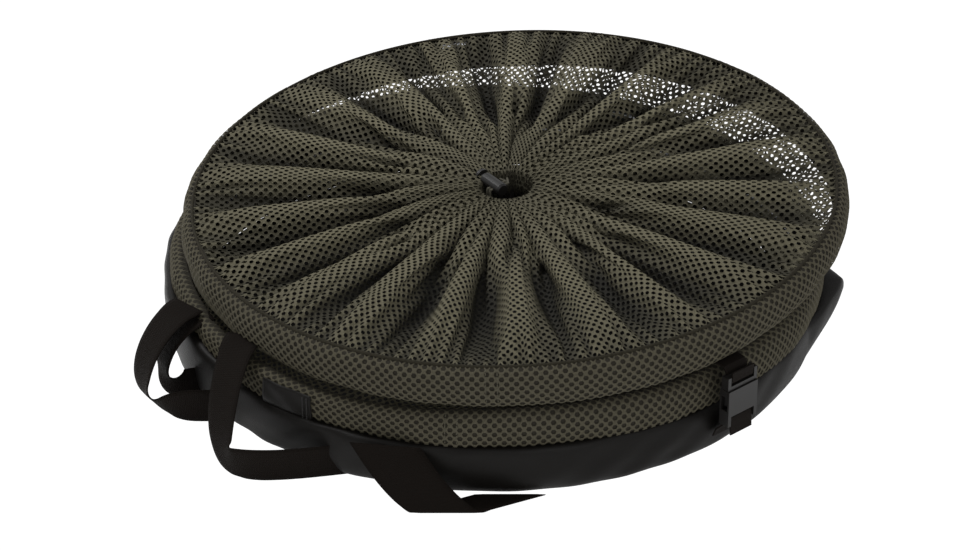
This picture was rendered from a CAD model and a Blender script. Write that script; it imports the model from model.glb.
# A round mesh enclosure, folded low: a gathered mesh lid drawn in by a cord, three
# hoops joined by slack mesh walls, a coated base and slack webbing loops.
# Metres, +Z up, standing on z = 0 with its axis near the origin.  The front faces -Y.
# The top ring is tilted, lowest at the front left (-X, -Y).  Azimuths count from +X
# towards +Y, in degrees where they are written as numbers.
import bpy
import numpy as np
from math import sin, cos, pi, radians, sqrt
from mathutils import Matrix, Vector


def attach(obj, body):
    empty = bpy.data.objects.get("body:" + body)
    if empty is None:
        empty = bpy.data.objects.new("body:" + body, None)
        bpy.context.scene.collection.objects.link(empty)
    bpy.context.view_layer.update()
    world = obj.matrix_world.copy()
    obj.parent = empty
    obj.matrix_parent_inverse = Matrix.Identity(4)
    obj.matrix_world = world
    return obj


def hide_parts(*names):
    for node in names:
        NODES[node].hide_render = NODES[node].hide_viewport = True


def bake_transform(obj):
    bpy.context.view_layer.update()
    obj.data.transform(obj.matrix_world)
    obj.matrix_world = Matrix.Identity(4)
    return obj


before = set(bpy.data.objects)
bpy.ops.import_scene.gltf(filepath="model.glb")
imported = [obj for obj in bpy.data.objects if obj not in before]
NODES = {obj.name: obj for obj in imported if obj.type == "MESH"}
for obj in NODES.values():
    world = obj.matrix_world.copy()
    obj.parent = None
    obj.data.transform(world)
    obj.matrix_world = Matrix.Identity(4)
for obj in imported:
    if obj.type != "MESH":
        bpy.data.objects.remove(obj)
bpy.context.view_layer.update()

# ---- driving dimensions ---------------------------------------------------
TOP_CENTRE = Vector((0.020, 0.004, 0.125))
TOP_NORMAL = Vector((-0.0475, -0.029, 1.0)).normalized()
TOP_TURN = np.array(Vector((0, 0, 1)).rotation_difference(TOP_NORMAL).to_matrix())
MID_CENTRE = Vector((0.002, 0.006, 0.0))
MID_HOOP_Z = 0.0640
HOOP_RADIUS = 0.2915
COLUMNS = 228                # mesh columns round the bands and walls
BAND_ROWS = 12

# profiles of the skins of revolution: radius, height in the ring's own frame
TOP_BAND = [
    (0.2896, 0.0098), (0.2940, 0.0086), (0.2978, 0.0050), (0.3001, -0.0010), (0.3006, -0.0085),
    (0.3002, -0.0165), (0.2985, -0.0235), (0.2945, -0.0268), (0.2880, -0.0262)]
MID_BAND = [
    (0.2870, 0.0812), (0.2925, 0.0818), (0.2975, 0.0785), (0.3000, 0.0715), (0.3006, 0.0640),
    (0.3000, 0.0555), (0.2982, 0.0490), (0.2940, 0.0462), (0.2870, 0.0458)]
LID_SEAM = [
    (0.2888, 0.0098), (0.2893, 0.0110), (0.2903, 0.0114), (0.2913, 0.0108), (0.2918, 0.0094)]
BASE_SIDE = [
    (0.2840, 0.0010), (0.2880, 0.0016), (0.2940, 0.0080), (0.2982, 0.0200), (0.2992, 0.0320),
    (0.2982, 0.0405), (0.2945, 0.0440), (0.2880, 0.0432)]


# ---- frames of the rings --------------------------------------------------
def to_top(points):
    return np.asarray(points) @ TOP_TURN.T + np.array(TOP_CENTRE)


def to_mid(points):
    return np.asarray(points) + np.array(MID_CENTRE)


def to_base(points):
    return np.asarray(points)


def polar(azimuth, radius, z=0.0):
    return np.array([radius * cos(radians(azimuth)), radius * sin(radians(azimuth)), z])


def revolve(radius, angle, z):
    return np.stack([radius * np.cos(angle), radius * np.sin(angle), z], -1)


# ---- smooth functions and curves ------------------------------------------
def hash01(i, seed=0.0):
    """a repeatable scattered value from 0 to 1"""
    x = np.sin(np.asarray(i, float) * 12.9898 + seed * 78.233 + 4.1) * 43758.5453
    return x - np.floor(x)


def smooth(t):
    t = np.clip(t, 0, 1)
    return t * t * (3 - 2 * t)


def wave(angle, seed, lowest, highest, terms):
    """smooth periodic noise of unit strength, with frequencies lowest to highest"""
    out = np.zeros_like(np.asarray(angle, float))
    power = 0
    for k in range(terms):
        frequency = int(lowest + (highest - lowest) * hash01(k, seed + 0.3))
        phase = 2 * pi * hash01(k, seed + 0.7)
        weight = 0.5 + hash01(k, seed + 0.11)
        out = out + weight * np.sin(frequency * angle + phase)
        power += weight * weight
    return out / sqrt(power)


def degrees_from(angle, azimuth):
    """signed degrees from an azimuth (degrees) to an angle (radians)"""
    turn = angle - radians(azimuth)
    return np.degrees(np.arctan2(np.sin(turn), np.cos(turn)))


def catmull(a, b, c, d, t):
    return 0.5 * (2 * b + (c - a) * t + (2 * a - 5 * b + 4 * c - d) * t ** 2
                  + (3 * b - a - 3 * c + d) * t ** 3)


def spline(points, steps):
    """Catmull-Rom curve through the points, with steps samples per span"""
    points = np.asarray(points, float)
    p = np.vstack([2 * points[0] - points[1], points, 2 * points[-1] - points[-2]])
    t = np.linspace(0, 1, steps, endpoint=False)[:, None]
    spans = [catmull(*p[i:i + 4], t) for i in range(len(points) - 1)]
    return np.vstack(spans + [points[-1:]])


def run_lengths(curve):
    return np.concatenate([[0], np.cumsum(np.linalg.norm(np.diff(curve, axis=0), axis=1))])


def arc_profile(points):
    """A smooth curve through (radius, z) points, as a function of arc length that
    runs straight on beyond either end, and its length."""
    curve = spline(points, 24)
    run = run_lengths(curve)
    end = run[-1]
    slope0 = (curve[1] - curve[0]) / run[1]
    slope1 = (curve[-1] - curve[-2]) / (end - run[-2])

    def at(x):
        x = np.asarray(x, float)
        return tuple(np.interp(x, run, curve[:, k]) + np.where(x < 0, x * slope0[k], 0)
                     + np.where(x > end, (x - end) * slope1[k], 0) for k in (0, 1))
    return at, end


# ---- materials ------------------------------------------------------------
def add_node(tree, kind, inputs=None, **properties):
    node = tree.nodes.new("ShaderNode" + kind)
    for key, value in properties.items():
        setattr(node, key, value)
    for key, value in (inputs or {}).items():
        node.inputs[key].default_value = value
    return node


def add_noise(tree, coords, scale, detail):
    noise = add_node(tree, "TexNoise", {"Scale": scale, "Detail": detail})
    tree.links.new(coords, noise.inputs["Vector"])
    return noise.outputs["Fac"]


def add_bump(tree, shader, height, strength, distance):
    bump = add_node(tree, "Bump", {"Strength": strength, "Distance": distance})
    tree.links.new(height, bump.inputs["Height"])
    tree.links.new(bump.outputs["Normal"], shader.inputs["Normal"])


def new_material(name, roughness, specular):
    material = bpy.data.materials.new(name)
    material.use_nodes = True
    shader = material.node_tree.nodes["Principled BSDF"]
    shader.inputs["Roughness"].default_value = roughness
    shader.inputs["Specular IOR Level"].default_value = specular
    return material, material.node_tree, shader


def plain(name, color, roughness, metallic=0.0, specular=0.5,
          mottle=0.0, mottle_scale=1.0, bump=0.0, bump_scale=1.0):
    """one colour, optionally mottled by a share of itself and bumped by noise"""
    material, tree, shader = new_material(name, roughness, specular)
    shader.inputs["Base Color"].default_value = (*color, 1)
    shader.inputs["Metallic"].default_value = metallic
    if mottle or bump:
        coords = add_node(tree, "TexCoord").outputs["Object"]
    if mottle:
        noise = add_noise(tree, coords, mottle_scale, detail=4)
        ramp = add_node(tree, "ValToRGB")
        stops = zip(ramp.color_ramp.elements, (0.3, 0.7), (1 - mottle, 1 + mottle))
        for element, position, gain in stops:
            element.position = position
            element.color = (*[min(c * gain, 1) for c in color], 1)
        tree.links.new(noise, ramp.inputs["Fac"])
        tree.links.new(ramp.outputs["Color"], shader.inputs["Base Color"])
    if bump:
        noise = add_noise(tree, coords, bump_scale, detail=3)
        add_bump(tree, shader, noise, strength=bump, distance=0.001)
    return material


def webbing(name, color, rib_pitch, cord_pitch):
    """woven strap: fine ribs along its UV run, crossed by cords over its width"""
    material, tree, shader = new_material(name, roughness=0.75, specular=0.04)
    uv = add_node(tree, "UVMap", uv_map="UVMap")
    axes = add_node(tree, "SeparateXYZ")
    tree.links.new(uv.outputs["UV"], axes.inputs["Vector"])

    def sine(axis, pitch):
        phase = add_node(tree, "Math", {1: 2 * pi / pitch}, operation="MULTIPLY")
        tree.links.new(axes.outputs[axis], phase.inputs[0])
        out = add_node(tree, "Math", operation="SINE")
        tree.links.new(phase.outputs[0], out.inputs[0])
        return out.outputs[0]

    ribs = sine("X", rib_pitch)
    cords = sine("Y", cord_pitch)
    weave = add_node(tree, "Math", operation="MULTIPLY_ADD")
    for k, source in enumerate((ribs, cords, ribs)):
        tree.links.new(source, weave.inputs[k])
    gain = add_node(tree, "MapRange",
                    {"From Min": -2, "From Max": 2, "To Min": 0.75, "To Max": 1.2})
    tree.links.new(weave.outputs[0], gain.inputs["Value"])
    tint = add_node(tree, "VectorMath", {0: color}, operation="SCALE")
    tree.links.new(gain.outputs["Result"], tint.inputs["Scale"])
    tree.links.new(tint.outputs["Vector"], shader.inputs["Base Color"])
    add_bump(tree, shader, weave.outputs[0], strength=0.5, distance=0.0006)
    return material


def scale_by_tone(material):
    """scale a mottled material's colour by the piece's tone attribute"""
    tree = material.node_tree
    color = tree.nodes["Principled BSDF"].inputs["Base Color"]
    source = color.links[0].from_socket
    tone = add_node(tree, "Attribute", attribute_name="tone")
    tint = add_node(tree, "VectorMath", operation="SCALE")
    tree.links.new(source, tint.inputs[0])
    tree.links.new(tone.outputs["Fac"], tint.inputs["Scale"])
    tree.links.new(tint.outputs["Vector"], color)


STRAP_COLOR = (0.0058, 0.0044, 0.0035)
MESH = plain("knit_mesh", (0.072, 0.065, 0.043), roughness=0.75, specular=0.18,
             mottle=0.12, mottle_scale=900)
BACKING = plain("band_backing", (0.013, 0.011, 0.007), roughness=0.85, specular=0.2,
                mottle=0.15, mottle_scale=500)
MESH_LID = plain("knit_mesh_gathered", (0.069, 0.063, 0.041), roughness=0.75, specular=0.16,
                 mottle=0.12, mottle_scale=900)
scale_by_tone(MESH_LID)
MESH_BAND = plain("knit_mesh_band", (0.050, 0.045, 0.030), roughness=0.78, specular=0.14,
                  mottle=0.14, mottle_scale=900)
COATED = plain("coated_fabric", (0.0036, 0.0031, 0.0026), roughness=0.48, specular=0.10,
               mottle=0.1, mottle_scale=25, bump=0.25, bump_scale=900)
WEBBING = webbing("webbing", STRAP_COLOR, rib_pitch=0.0016, cord_pitch=0.0030)
PLASTIC = plain("black_plastic", (0.0055, 0.0050, 0.0046), roughness=0.34, specular=0.26,
                mottle=0.05, mottle_scale=80, bump=0.05, bump_scale=1200)
CORD = plain("cord_fabric", (0.05, 0.046, 0.032), roughness=0.7, specular=0.3,
             bump=0.6, bump_scale=1800)
STEEL = plain("spring_wire", (0.55, 0.56, 0.58), roughness=0.3, metallic=1.0)
THREAD = plain("thread", (0.046, 0.042, 0.028), roughness=0.7, specular=0.2,
               mottle=0.2, mottle_scale=2000)
SEAM_FOLD = plain("seam_fold", (0.016, 0.014, 0.009), roughness=0.85, specular=0.1,
                  mottle=0.25, mottle_scale=600)


# ---- mesh builders --------------------------------------------------------
def make(name, verts, face_sets, material, uv=None):
    """a smooth-shaded object; each face set is an array with one face per row"""
    verts = np.asarray(verts, float)
    flat = np.concatenate([faces.ravel() for faces in face_sets])
    totals = np.concatenate([np.full(len(faces), faces.shape[1]) for faces in face_sets])
    starts = np.cumsum(totals) - totals
    mesh = bpy.data.meshes.new(name)
    mesh.vertices.add(len(verts))
    mesh.vertices.foreach_set("co", verts.astype(np.float32).ravel())
    mesh.loops.add(len(flat))
    mesh.loops.foreach_set("vertex_index", flat.astype(np.int32))
    mesh.polygons.add(len(starts))
    mesh.polygons.foreach_set("loop_start", starts.astype(np.int32))
    mesh.polygons.foreach_set("loop_total", totals.astype(np.int32))
    mesh.polygons.foreach_set("use_smooth", np.ones(len(starts), dtype=bool))
    mesh.update(calc_edges=True)
    mesh.validate()
    if uv is not None:
        layer = mesh.uv_layers.new(name="UVMap")
        layer.data.foreach_set("uv", np.asarray(uv, np.float32)[flat].ravel())
    ob = bpy.data.objects.new(name, mesh)
    bpy.context.scene.collection.objects.link(ob)
    mesh.materials.append(material)
    return ob


def grid_quads(steps_i, steps_j, index):
    """one quad per cell of a grid whose vertices are numbered by index(i, j)"""
    i, j = np.meshgrid(np.arange(steps_i), np.arange(steps_j), indexing="ij")
    i, j = i.ravel(), j.ravel()
    return np.stack([index(i, j), index(i, j + 1), index(i + 1, j + 1), index(i + 1, j)], 1)


def normals(surface, u, v, side):
    step = 0.35
    along_u = surface(u + step, v) - surface(u - step, v)
    along_v = surface(u, v + step) - surface(u, v - step)
    n = np.cross(along_u, along_v)
    n /= np.maximum(np.linalg.norm(n, axis=1, keepdims=True), 1e-12)
    return n * side


def net(name, surface, columns, rows, material, side, hole_u=0.29, hole_v=0.46,
        lift=0.0006, sink=0.0004, tone=None):
    """A knit mesh with real holes on surface(u, v): u counts columns, v rows.
    Cells are diamonds standing on their points in staggered rows, each with one
    six-sided hole of half size hole_u, hole_v.  The strands' crossings are lifted
    and the hole edges sunk along the normal, which side (+1 or -1) turns."""
    i, k = np.meshgrid(np.arange(columns), np.arange(0, rows + 1), indexing="ij")
    cross_u = (i + 0.5 * ((k + 1) % 2)).ravel().astype(float)
    cross_v = k.ravel().astype(float)
    crossings = surface(cross_u, cross_v) + normals(surface, cross_u, cross_v, side) * lift

    i, k = np.meshgrid(np.arange(columns), np.arange(1, rows), indexing="ij")
    i, k = i.ravel(), k.ravel()
    cell_u = i + 0.5 * (k % 2)
    cell_v = k.astype(float)
    corners = [(hole_u, 0), (hole_u * 0.56, hole_v), (-hole_u * 0.56, hole_v),
               (-hole_u, 0), (-hole_u * 0.56, -hole_v), (hole_u * 0.56, -hole_v)]
    edge_u = np.stack([cell_u + du for du, dv in corners], 1).ravel()
    edge_v = np.stack([cell_v + dv for du, dv in corners], 1).ravel()
    edges = surface(edge_u, edge_v) - normals(surface, edge_u, edge_v, side) * sink

    def crossing(column, row):
        return (column % columns) * (rows + 1) + row

    right = crossing(i + (k % 2), k)
    left = crossing(i - 1 + (k % 2), k)
    top = crossing(i, k + 1)
    bottom = crossing(i, k - 1)
    h = [len(crossings) + np.arange(len(i)) * 6 + corner for corner in range(6)]
    quads = np.concatenate([np.stack(quad, 1) for quad in (
        (right, top, h[1], h[0]), (top, left, h[3], h[2]),
        (left, bottom, h[4], h[3]), (bottom, right, h[0], h[5]))])
    tris = np.concatenate([np.stack(tri, 1) for tri in ((top, h[2], h[1]), (bottom, h[5], h[4]))])
    ob = make(name, np.concatenate([crossings, edges]), [quads, tris], material)
    if tone is not None:
        values = np.concatenate([tone(cross_u, cross_v), tone(edge_u, edge_v)])
        attribute = ob.data.attributes.new("tone", "FLOAT", "POINT")
        attribute.data.foreach_set("value", values.astype(np.float32))
    return ob


UV_RADIUS = 0.3               # turns angles round a ring into UV lengths


def ring_surface(name, profile, place, material, body, columns, rows, ripple=None):
    """skin of revolution along a profile; ripple(angle, run) shifts radius and z"""
    at, length = profile
    s = np.linspace(0, length, rows + 1)
    angle, run = np.meshgrid(2 * pi * np.arange(columns) / columns, s, indexing="ij")
    radius, z = at(run)
    if ripple is not None:
        dr, dz = ripple(angle, run)
        radius, z = radius + dr, z + dz
    points = revolve(radius, angle, z).reshape(-1, 3)
    quads = grid_quads(columns, rows, lambda i, j: (i % columns) * (rows + 1) + j)
    uv = np.stack([(angle * UV_RADIUS).ravel(), run.ravel()], 1)
    ob = make(name, place(points), [quads], material, uv=uv)
    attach(ob, body)
    return ob


STITCH_WIDTH = 0.0006
STITCH_ARCH = ((-0.5, 0.1), (-0.3, 0.8), (0.3, 0.8), (0.5, 0.1))   # share of length, height


def stitches(name, path, up, count, length, body, material=THREAD):
    """a row of small thread loops along path(t), t from 0 to 1, standing along up"""
    verts, faces = [], []
    quads = grid_quads(3, 2, lambda i, j: i * 3 + j)
    for i in range(count):
        t = (i + 0.5) / count
        point = path(t)
        ahead = path(t + 0.2 / count) - path(t - 0.2 / count)
        ahead = ahead / np.linalg.norm(ahead)
        across = np.cross(ahead, up)
        across = across / np.linalg.norm(across)
        faces.append(quads + len(verts))
        for x, height in STITCH_ARCH:
            for q in (-1, 0, 1):
                verts.append(point + ahead * x * length + across * q * STITCH_WIDTH * 0.7
                             + up * STITCH_WIDTH * (height + 0.25 * (1 - abs(q))))
    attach(make(name, verts, faces, material), body)


# ---- lid: a gathered mesh disc, relaxed from folds ------------------------
LID_ROWS = 60
LID_COLUMNS = 284             # the lid is fuller than the bands it is sewn to
LID_OUTER, LID_INNER = 0.2905, 0.0240
LID_RADII = np.linspace(LID_OUTER, LID_INNER, LID_ROWS)
LID_ANGLES = 2 * pi * np.arange(LID_COLUMNS) / LID_COLUMNS
LID_Z = 0.0100
HUB = np.array([-0.006, -0.012, 0.0])   # centre of the hole, in the top ring's frame
GATHERS = 38
CELL_WIDTH = 0.0080           # mesh column at full stretch
NO_LIMIT = 9.0                # longer than any link


def fold_phase(angle):
    """gathers of uneven width, as a warped phase around the ring"""
    return GATHERS * (angle + 0.085 * wave(angle, 3.0, 2, 9, 5)
                      + 0.020 * wave(angle, 5.0, 11, 19, 4))


def folded_lid():
    """the starting shape, grid [column, row]: gathers near the hub, broader folds outside"""
    angle = LID_ANGLES
    phase = fold_phase(angle)
    medium = wave(angle, 9.0, 13, 24, 6)
    broad = wave(angle, 12.0, 5, 12, 5)
    reach = 0.190 + 0.040 * wave(angle, 8.0, 3, 17, 7)
    grid = np.zeros((LID_COLUMNS, LID_ROWS, 3))
    for j, r in enumerate(LID_RADII):
        gather = 0.0135 * smooth((reach - r) / 0.11) * smooth(r / 0.05)
        medium_height = 0.0130 * smooth((0.288 - r) / 0.08) * smooth((r - 0.06) / 0.10)
        broad_height = 0.0070 * smooth((0.288 - r) / 0.06) * smooth((r - 0.12) / 0.12)
        height = gather * np.cos(phase) + medium_height * medium + broad_height * broad
        turned = angle + 0.5 * gather * np.sin(phase) / max(r, 0.03)
        share = 1 - (r - LID_INNER) / (LID_OUTER - LID_INNER)
        grid[:, j, 0] = r * np.cos(turned) + HUB[0] * share
        grid[:, j, 1] = r * np.sin(turned) + HUB[1] * share
        grid[:, j, 2] = LID_Z + height - 0.001 * share + 0.003 * smooth((0.288 - r) / 0.03)
    rng = np.random.default_rng(11)
    grid[:, 1:-1] += rng.normal(0, 0.0002, (LID_COLUMNS, LID_ROWS - 2, 3))
    return grid


def pull(grid, first, second, shortest, longest, push_gain, pull_gain):
    """move two sets of points apart or together towards the allowed distances"""
    d = grid[second] - grid[first]
    length = np.maximum(np.linalg.norm(d, axis=-1, keepdims=True), 1e-9)
    excess = np.where(length > longest, (length - longest) * pull_gain,
                      np.where(length < shortest, (length - shortest) * push_gain, 0.0))
    move = excess / length * d * 0.5
    grid[first] += move
    grid[second] -= move


def relax(a):
    """settle the grid as cloth, with its first and last rows pinned"""
    nu, nv = LID_COLUMNS, LID_ROWS
    rim, hem = a[:, 0].copy(), a[:, -1].copy()
    radius = LID_RADII[None, :, None]
    height = (np.linalg.norm(hem - rim, axis=1) / (nv - 1) * 1.012)[:, None, None]
    narrowest = CELL_WIDTH * (0.46 + 0.44 * smooth((radius - 0.05) / 0.13))
    evening = (0.0015 + 0.0065 * smooth((radius - 0.08) / 0.08))[:, 1:-1]
    column = np.arange(nu)
    for _ in range(400):
        # neighbours along the rows, then along the columns
        for odd in (0, 1):
            i = column[column % 2 == odd]
            pull(a, i, (i + 1) % nu, narrowest, CELL_WIDTH, 0.30, 0.9)
        for odd in (0, 1):
            pull(a, np.s_[:, odd:nv - 1:2], np.s_[:, odd + 1:nv:2],
                 height * 0.97, height, 0.5, 0.95)
        # both diagonals
        for step in (1, -1):
            for odd_i in (0, 1):
                i = column[column % 2 == odd_i]
                k = (i + step) % nu
                for odd_j in (0, 1):
                    j = np.arange(odd_j, nv - 1, 2)
                    narrow = 0.5 * (narrowest[:, j] + narrowest[:, j + 1])
                    shortest = np.sqrt(narrow ** 2 + height[i] ** 2) * 0.96
                    longest = np.sqrt(CELL_WIDTH ** 2 + height[i] ** 2) * 1.02
                    pull(a, (i[:, None], j[None]), (k[:, None], j[None] + 1),
                         shortest, longest, 0.35, 0.6)
        # second neighbours, which resist sharp bends
        for pair in ((0, 1), (2, 3)):
            i = column[np.isin(column % 4, pair)]
            pull(a, i, (i + 2) % nu, narrowest * 1.45, NO_LIMIT, 0.22, 0)
        for start in (0, 1, 2, 3):
            pull(a, np.s_[:, start:nv - 2:4], np.s_[:, start + 2:nv:4],
                 height * 1.94, NO_LIMIT, 0.4, 0)
        # smoothing along the columns, then round the rows
        a[:, 1:-1] += 0.07 * (0.5 * (a[:, :-2] + a[:, 2:]) - a[:, 1:-1])
        mean = 0.5 * (np.roll(a, 1, 0) + np.roll(a, -1, 0))
        a[:, 1:-1] += evening * (mean - a)[:, 1:-1]
        a[:, 0] = rim
        a[:, -1] = hem
    return a


LID = relax(folded_lid())
LID_HEIGHT = LID[:, :, 2]     # a view: changes here change the lid
# drawn tight towards the cord, the gathers stand up as ropes
GATHER = np.cos(fold_phase(LID_ANGLES))[:, None]
TIGHT = smooth((0.165 - LID_RADII[None, :]) / 0.09)
LID_HEIGHT += 0.0042 * GATHER * TIGHT * smooth((LID_RADII[None, :] - 0.022) / 0.03)
# ridges are eased off above EASE_Z and stay below EASE_Z + EASE_ROOM
EASE_Z, EASE_ROOM = 0.015, 0.007
LID_HEIGHT[:] = np.where(LID_HEIGHT > EASE_Z,
                         EASE_Z + EASE_ROOM * np.tanh((LID_HEIGHT - EASE_Z) / EASE_ROOM),
                         LID_HEIGHT)

# how each spot stands against the folds around it: +1 on ridges, -1 in valleys
RISE = LID_HEIGHT - sum(np.roll(LID_HEIGHT, d, 0) for d in range(-5, 6)) / 11.0
RISE = np.clip(RISE / (0.95 * np.sqrt((RISE ** 2).mean(0, keepdims=True)) + 0.0001), -1, 1)
RISE = RISE * (1 - 0.8 * TIGHT) + 0.8 * TIGHT * GATHER
HEM_END = LID_ROWS - 6.0      # the gathers are tightest from this row in


def lid_surface(u, v):
    """bicubic lookup of the relaxed lid, carried on past both ends"""
    u = np.asarray(u, float) % LID_COLUMNS
    v = np.asarray(v, float)
    i = np.floor(u).astype(int)
    part_u = (u - i)[:, None]
    inside = np.clip(v, 0, LID_ROWS - 1.000001)
    j = np.floor(inside).astype(int)
    part_v = (inside - j)[:, None]
    over = (v - np.clip(v, 0, LID_ROWS - 1))[:, None]

    def row(j):
        j = np.clip(j, 0, LID_ROWS - 1)
        return catmull(*(LID[(i + d) % LID_COLUMNS, j] for d in (-1, 0, 1, 2)), part_u)

    q = catmull(row(j - 1), row(j), row(j + 1), row(j + 2), part_v)
    # past the hem the fabric turns down into the hole
    d = np.where(over > 0, over, 0) * 0.0045
    q = q + np.concatenate([-(q[:, :2] - HUB[:2]) * d * 10, -d], 1)
    # past the hoop it runs out over the rim
    d = np.where(over < 0, over, 0) * 0.0047
    radius = np.linalg.norm(q[:, :2], axis=1, keepdims=True)
    q = q + np.concatenate([-q[:, :2] / radius * d, 0.2 * d], 1)
    return to_top(q)


def lid_tone(u, v):
    """lighter ridges and darker valleys, fainter by the rim, darkening into the hole"""
    i = np.round(u).astype(int) % LID_COLUMNS
    j = np.clip(np.round(v).astype(int), 0, LID_ROWS - 1)
    contrast = 0.62 + 0.38 * smooth((0.285 - LID_RADII[j]) / 0.10)
    return ((0.74 + 0.62 * RISE[i, j] * contrast)
            * (0.74 + 0.26 * smooth((HEM_END - v) / 14.0))
            * (0.45 + 0.55 * smooth((LID_ROWS + 1 - v) / 5.0)))


lid = net("lid_net", lid_surface, LID_COLUMNS, LID_ROWS + 3, MESH_LID, side=-1.0,
          hole_u=0.25, hole_v=0.415, lift=0.0005, tone=lid_tone)
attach(lid, "top")
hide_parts("lid_mesh", "drawcord_channel")

# ---- hoop bands -----------------------------------------------------------
BACKING_GAP = 0.0012
BAND_RIPPLE = 0.0007


def band(tag, points, place, body, node, seed, squeeze=0.0, dip=0.0, narrow=0.0):
    """A mesh band over its backing.  squeeze draws it in at the left, dip lowers its
    upper part at the front left, narrow raises its lower edge at the right."""
    at, length = arc_profile(points)

    def ripple(a, s):
        dr = BAND_RIPPLE * (0.6 * wave(a + s * 3, seed, 9, 26, 7)
                            + 0.4 * wave(a - s * 2, seed + 1, 30, 60, 5))
        dz = BAND_RIPPLE * 0.5 * wave(a, seed + 2, 4, 15, 5)
        left, front_left, right = (np.abs(degrees_from(a, az)) for az in (180, -128, -22))
        dz = dz - dip * smooth((42 - front_left) / 30) * smooth(1 - s / (0.6 * length))
        dz = dz + narrow * smooth((44 - right) / 36) * smooth((s / length - 0.45) / 0.5)
        return dr - squeeze * smooth((62 - left) / 50), dz

    def surface(u, v):
        a = 2 * pi * np.asarray(u) / COLUMNS
        s = np.asarray(v, float) / BAND_ROWS * length
        r, z = at(s)
        dr, dz = ripple(a, s)
        return place(revolve(r + dr, a, z + dz))

    ring_surface(tag + "_backing", arc_profile([(r - BACKING_GAP, z) for r, z in points]),
                 place, BACKING, body, COLUMNS, 16, ripple)
    ob = net(tag + "_net", surface, COLUMNS, BAND_ROWS, MESH_BAND, side=-1.0,
             hole_v=0.47, lift=0.0005)
    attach(ob, body)
    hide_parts(node)
    return surface


top_band = band("rim_top", TOP_BAND, to_top, "top", "top_rim_band", seed=21.0, narrow=0.0095)
mid_band = band("rim_middle", MID_BAND, to_mid, "middle", "middle_rim_band", seed=31.0,
                squeeze=0.0058, dip=0.0075)

# ---- sleeves round the upper two hoops, so no bare wire shows -------------
SLEEVE_RADIUS = 0.0037
SLEEVE_SIDES = 12


def sleeve(body, place, z):
    turns = [2 * pi * k / SLEEVE_SIDES for k in range(SLEEVE_SIDES + 1)]
    points = [(HOOP_RADIUS + SLEEVE_RADIUS * cos(t), z + SLEEVE_RADIUS * sin(t)) for t in turns]
    ring_surface("hoop_sleeve_" + body, arc_profile(points), place, BACKING, body,
                 COLUMNS, 12)


sleeve("top", to_top, 0.0)
sleeve("middle", to_mid, MID_HOOP_Z)

# ---- seams and stitching --------------------------------------------------
ring_surface("lid_seam", arc_profile(LID_SEAM), to_top, SEAM_FOLD, "top", 288, 8)


def joint(name, surface, azimuth, body):
    """two rows of stitching down a band, 1.2 columns apart"""
    for letter, offset in (("a", -0.6), ("b", 0.6)):
        u = (azimuth % 360) / 360.0 * COLUMNS + offset

        def path(t):
            return surface(np.array([u]), np.array([0.8 + t * (BAND_ROWS - 2.2)]))[0]

        stitches(name + "_" + letter, path, polar(azimuth, 1.0), 13, 0.0024, body)


joint("joint_top", top_band, -94.0, "top")
joint("joint_middle", mid_band, -97.0, "middle")
joint("joint_top_rear", top_band, 88.0, "top")

# the hem is stitched along the first row that comes within this radius of the hub
HEM_RADIUS = 0.047
hem_row = next(j for j in range(LID_ROWS)
               if np.linalg.norm(LID[:, j, :2] - HUB[:2], axis=1).mean() < HEM_RADIUS)
stitches("hem_stitch",
         lambda t: lid_surface(np.array([t * LID_COLUMNS]), np.array([float(hem_row)]))[0],
         np.array([0.0, 0.0, 1.0]), 96, 0.0022, "top")


# ---- folded walls between the rings ---------------------------------------
def wall_surface(low_place, high_place, low, high, bulge, rows, seed):
    """a wall from ring (radius, z) low to ring high, sagging inwards by about bulge"""
    def surface(u, v):
        a = 2 * pi * np.asarray(u) / COLUMNS
        t = np.asarray(v, float) / rows
        p0, p1 = (place(revolve(r, a, np.full_like(a, z)))
                  for place, (r, z) in ((low_place, low), (high_place, high)))
        gap = np.linalg.norm(p1 - p0, axis=1)
        sag = (bulge * np.sin(pi * np.clip(t, 0, 1)) * (1.0 + 0.25 * wave(a, seed, 6, 22, 6))
               * np.clip(1.25 - gap / 0.08, 0.35, 1))
        return p0 + (p1 - p0) * t[:, None] - revolve(1.0, a, 0 * a) * sag[:, None]
    return surface


# The upper wall starts inside the middle band on a line parallel to the tilted
# top ring, so that every row keeps one share of the ring's travel when it rises.
UP = np.array(TOP_NORMAL)
TOP_EDGE_Z = TOP_BAND[-1][1]
LOW_LEVEL = float(UP @ (np.array(MID_CENTRE) + np.array([0, 0, MID_HOOP_Z])))


def to_mid_tilted(points):
    q = to_mid(points)
    q[..., 2] = (LOW_LEVEL - UP[0] * q[..., 0] - UP[1] * q[..., 1]) / UP[2]
    return q


UPPER_ROWS = 14
upper = net("upper_wall_net",
            wall_surface(to_mid_tilted, to_top, (0.2840, 0.0), (0.2885, TOP_EDGE_Z),
                         bulge=0.020, rows=UPPER_ROWS, seed=41.0),
            COLUMNS, UPPER_ROWS, MESH, side=1.0)
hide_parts("upper_wall")
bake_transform(upper)

LOWER_ROWS = 10
LOWER_WALL_Z = 0.004
MID_EDGE_Z = MID_BAND[-1][1]
lower = net("lower_wall_net",
            wall_surface(to_base, to_mid, (0.2800, LOWER_WALL_Z), (0.2850, MID_EDGE_Z),
                         bulge=0.012, rows=LOWER_ROWS, seed=51.0),
            COLUMNS, LOWER_ROWS, MESH, side=1.0)
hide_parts("lower_wall")
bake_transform(lower)

# ---- base: coated fabric side wall ----------------------------------------
BASE_PROFILE = arc_profile(BASE_SIDE)


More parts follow.
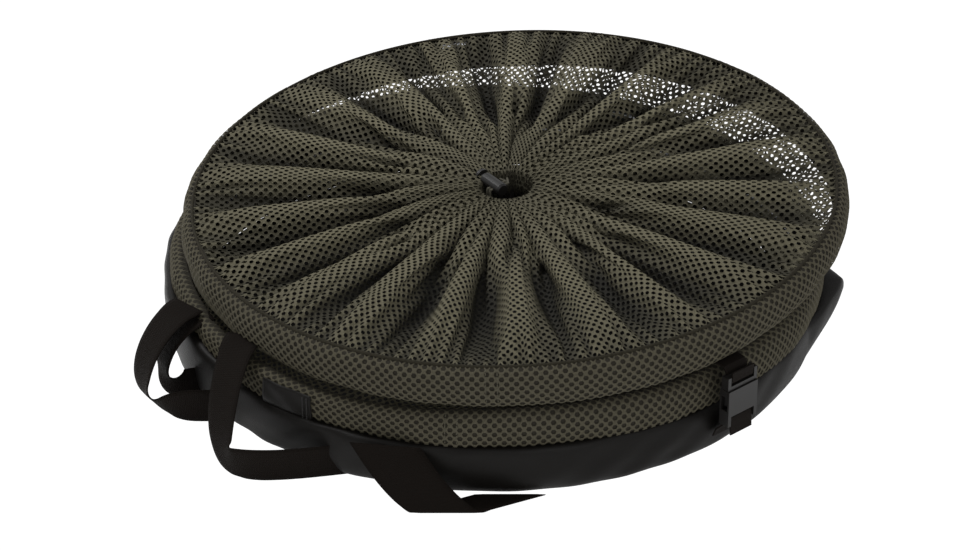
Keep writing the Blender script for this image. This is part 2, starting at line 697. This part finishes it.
def base_ripple(a, s):
    """creases, an ear standing out at the right and an upper edge raised at the left"""
    t = s / BASE_PROFILE[1]
    upper_part = smooth(t / 0.7)
    d = degrees_from(a, 0)
    ear = np.where(d < -3, np.clip((d + 19.0) / 16.0, 0, 1), np.clip((5.0 - d) / 8.0, 0, 1))
    creases = (0.0016 * wave(a + 2.0 * s, 61.0, 5, 14, 6) * smooth(t / 0.4)
               + 0.0007 * wave(a - 5 * s, 63.0, 20, 44, 6))
    left = smooth((55 - np.abs(degrees_from(a, 180))) / 35) * upper_part
    return (creases + 0.0225 * ear * upper_part * smooth((1.05 - t) / 0.2),
            0.0014 * wave(a, 64.0, 3, 11, 5) * upper_part + 0.002 * ear * upper_part
            + (0.006 + 0.014 * left) * upper_part)


base = ring_surface("base_side", BASE_PROFILE, to_base, COATED, "base", 360, 28,
                    base_ripple)
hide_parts("base_wall")


# ---- solids kept from the frame: floor, cord, hoops and spring ------------
def dress(ob, material):
    ob.data.materials.clear()
    ob.data.materials.append(material)


HOOPS = ("top_hoop", "middle_hoop", "base_hoop")
dress(NODES["base_floor"], COATED)
dress(NODES["drawcord"], CORD)
dress(NODES["cord_lock_spring"], STEEL)
for hoop in HOOPS:
    dress(NODES[hoop + "_wire"], STEEL)
    dress(NODES[hoop + "_ferrule"], STEEL)
    for polygon in NODES[hoop + "_wire"].data.polygons:
        polygon.use_smooth = True

# ---- straps ---------------------------------------------------------------
STRAP_THICKNESS = 0.0016
STRAP_CELLS = 8               # across the width
UNDERSIDE_UV = 0.1            # UV offset of the second face


def strap(name, points, width_dirs, width, square=True):
    """ribbon with thinned edges along the points; square keeps its width across its run"""
    centre = spline(points, 6)
    across = spline(width_dirs, 6)
    across /= np.linalg.norm(across, axis=1, keepdims=True)
    ahead = np.gradient(centre, axis=0)
    ahead /= np.linalg.norm(ahead, axis=1, keepdims=True)
    if square:
        across = across - ahead * np.sum(across * ahead, 1, keepdims=True)
        across /= np.linalg.norm(across, axis=1, keepdims=True)
    normal = np.cross(ahead, across)
    normal /= np.linalg.norm(normal, axis=1, keepdims=True)
    run = run_lengths(centre)
    xs = np.linspace(-0.5, 0.5, STRAP_CELLS + 1)
    verts, uv = [], []
    for x, y in [(x, 0.5) for x in xs] + [(x, -0.5) for x in xs[::-1]]:
        thick = STRAP_THICKNESS * (0.55 if abs(x) > 0.49 else 1.0)
        verts.append(centre + across * (x * width) + normal * (y * thick))
        offset = UNDERSIDE_UV if y < 0 else 0
        uv.append(np.stack([run, np.full_like(run, x * width + offset)], 1))
    count, around = len(centre), len(verts)

    def index(i, j):
        return i * around + (j % around)

    quads = grid_quads(count - 1, around, index)
    caps = [[index(end, k), index(end, k + 1),
             index(end, around - 2 - k), index(end, around - 1 - k)]
            for end in (0, count - 1) for k in range(STRAP_CELLS)]
    return make(name, np.stack(verts, 1).reshape(-1, 3), [quads, np.array(caps)], WEBBING,
                uv=np.stack(uv, 1).reshape(-1, 2))


def swing(name, start, end, out, azimuth, drop, turn, width):
    """A slack loop between two (azimuth, radius, z) places.  It swings out by `out`
    towards azimuth and sinks over the first `drop` of its run.  It hangs with its
    width along the rim and from `turn` on it turns to stand on its edge."""
    a, b = polar(*start), polar(*end)
    t = np.linspace(0, 1, 13)
    centre = a + (b - a) * t[:, None]
    centre += np.sin(pi * t)[:, None] * out * polar(azimuth, 1.0)
    centre[:, 2] = start[2] + (end[2] - start[2]) * smooth(t / drop)
    along_rim = polar(azimuth + 90, 1.0)
    on_edge = np.array([0.0, -0.2, 1.0])
    share = smooth((t - turn) / 0.42)[:, None]
    return strap(name, centre, along_rim * (1 - share) + on_edge * share, width)


def landing(name, start, foot, end, width):
    """A strap that comes down to the ground, folds over flat and runs back towards
    the base; its width stays nearly level, so it looks cut off square at the fold."""
    a, f, b = polar(*start), polar(*foot), polar(*end)
    spans = 6
    t = np.linspace(0, 1, spans + 1)[:, None]
    down = a + (f - a) * t + (0.004 * np.sin(pi * t)) * polar(foot[0], 1.0)
    down[:, 2] = foot[2] + (start[2] - foot[2]) * (1 - t[:, 0]) ** 1.3
    centre = np.concatenate([down, f + (b - f) * t[1:]])
    dirs = [[1.0, 0.0, -0.10 * (1 - min(i / spans, 1))] for i in range(len(centre))]
    return strap(name, centre, dirs, width, square=False)


# spot, start and end (azimuth, radius, z), out, azimuth, drop, turn, width
SWINGS = (
    ("outer_left", (-157, 0.290, 0.080), (-142, 0.292, 0.018), 0.060, -157, 0.70, 0.46, 0.038),
    ("inner_left", (-155, 0.277, 0.076), (-151, 0.280, 0.017), 0.045, -157, 0.80, 0.40, 0.034),
    ("front_left", (-140, 0.277, 0.090), (-114, 0.284, 0.017), 0.074, -143, 0.50, 0.24, 0.036),
)
loops = [(spot, swing("loop_" + spot, *shape)) for spot, *shape in SWINGS]
loops.append(("front", landing("loop_front", start=(-107, 0.307, 0.053),
                               foot=(-97, 0.321, 0.002), end=(-87, 0.292, 0.001), width=0.060)))
for spot, piece in loops:
    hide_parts("strap_" + spot)
    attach(piece, "base")

# ---- patch on the middle band, at the front left --------------------------
PATCH_START, PATCH_SPAN = -131, 10.0       # degrees
PATCH_Z, PATCH_HEIGHT = 0.0500, 0.024
PATCH_MARGIN = 0.001          # from the ends of the stitching to the patch's edges


def patch():
    columns, rows = 24, 10
    verts = []
    for i in range(columns + 1):
        a = radians(PATCH_START + PATCH_SPAN * i / columns)
        for j in range(rows + 1):
            # slightly wavy, with its upper and lower edges drawn in
            r = (0.3024 + 0.0006 * sin(a * 60) * sin(j * 0.6)
                 - 0.0012 * (abs(j / rows - 0.5) * 2) ** 4)
            verts.append((MID_CENTRE.x + r * cos(a), MID_CENTRE.y + r * sin(a),
                          PATCH_Z + PATCH_HEIGHT * j / rows))
    quads = grid_quads(columns, rows, lambda i, j: i * (rows + 1) + j)[:, [0, 3, 2, 1]]
    ob = make("stitched_patch", verts, [quads], COATED)
    thickness = ob.modifiers.new("t", "SOLIDIFY")
    thickness.thickness = 0.0010
    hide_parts("band_patch")
    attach(ob, "middle")


def patch_stitches(letter, azimuth):
    """one upright row of dark stitching near the patch's right-hand edge"""
    def path(t):
        z = PATCH_Z + PATCH_MARGIN + (PATCH_HEIGHT - 2 * PATCH_MARGIN) * t
        return polar(azimuth, 0.3034, z) + np.array(MID_CENTRE)

    stitches("patch_stitch_" + letter, path, polar(-122, 1.0), 10, 0.0018, "middle", PLASTIC)


patch()
patch_stitches("a", -121.6)
patch_stitches("b", -122.4)

# ---- buckles, cord lock and the frame's other straps ----------------------
for name, ob in NODES.items():
    if name.startswith(("buckle_", "cord_lock_barrel", "cord_lock_plunger")):
        dress(ob, PLASTIC)
        bevel = ob.modifiers.new("soft", "BEVEL")
        bevel.width = 0.0008
        bevel.segments = 3
        bevel.limit_method = "ANGLE"
        bevel.angle_limit = radians(35)
    if name.startswith(("upper_strap", "lower_strap")):
        dress(ob, plain("strap_" + name, STRAP_COLOR, roughness=0.75, specular=0.05,
                        bump=0.5, bump_scale=1200))


# ---- floor, light, camera -------------------------------------------------
def floor_material():
    """the camera sees plain white; everything else sees the lit floor"""
    material = plain("floor_white", (0.92, 0.92, 0.92), roughness=0.9, specular=0.0)
    tree = material.node_tree
    shader = tree.nodes["Principled BSDF"]
    shader.inputs["Emission Color"].default_value = (1, 1, 1, 1)
    shader.inputs["Emission Strength"].default_value = 0.30
    path = add_node(tree, "LightPath")
    white = add_node(tree, "Emission", {"Strength": 1.1})
    mix = add_node(tree, "MixShader")
    tree.links.new(path.outputs["Is Camera Ray"], mix.inputs[0])
    tree.links.new(shader.outputs[0], mix.inputs[1])
    tree.links.new(white.outputs[0], mix.inputs[2])
    tree.links.new(mix.outputs[0], tree.nodes["Material Output"].inputs["Surface"])
    return material


def aim(ob, location, target):
    ob.location = location
    ob.rotation_euler = (target - ob.location).to_track_quat("-Z", "Y").to_euler()


def area_light(name, location, size, power):
    light = bpy.data.lights.new(name, "AREA")
    light.shape = "DISK"
    light.size = size
    light.energy = power
    ob = bpy.data.objects.new(name, light)
    bpy.context.scene.collection.objects.link(ob)
    aim(ob, location, target=Vector((0, 0, 0.06)))


def add_camera(target, elevation, distance):
    """looks from the front, raised by elevation degrees"""
    data = bpy.data.cameras.new("camera")
    data.sensor_width = 36.0
    data.lens = 120.3681
    data.clip_end = 100
    ob = bpy.data.objects.new("camera", data)
    bpy.context.scene.collection.objects.link(ob)
    rise = radians(elevation)
    aim(ob, target + Vector((0, -cos(rise), sin(rise))) * distance, target)
    bpy.context.scene.camera = ob


bpy.ops.mesh.primitive_plane_add(size=30, location=(0, 0, -0.0005))
floor = bpy.context.object
floor.name = "floor"
floor.data.materials.append(floor_material())

world = bpy.data.worlds.new("studio")
bpy.context.scene.world = world
world.use_nodes = True
background = world.node_tree.nodes["Background"]
background.inputs["Color"].default_value = (1, 1, 1, 1)
background.inputs["Strength"].default_value = 0.75

area_light("key", (-1.0, 0.5, 1.9), size=0.9, power=34)
area_light("fill", (0.8, -2.0, 1.3), size=1.2, power=14)
add_camera(target=Vector((-0.0026, 0.0041, 0.0402)), elevation=31, distance=3.0)
bpy.context.scene.view_settings.view_transform = "Standard"
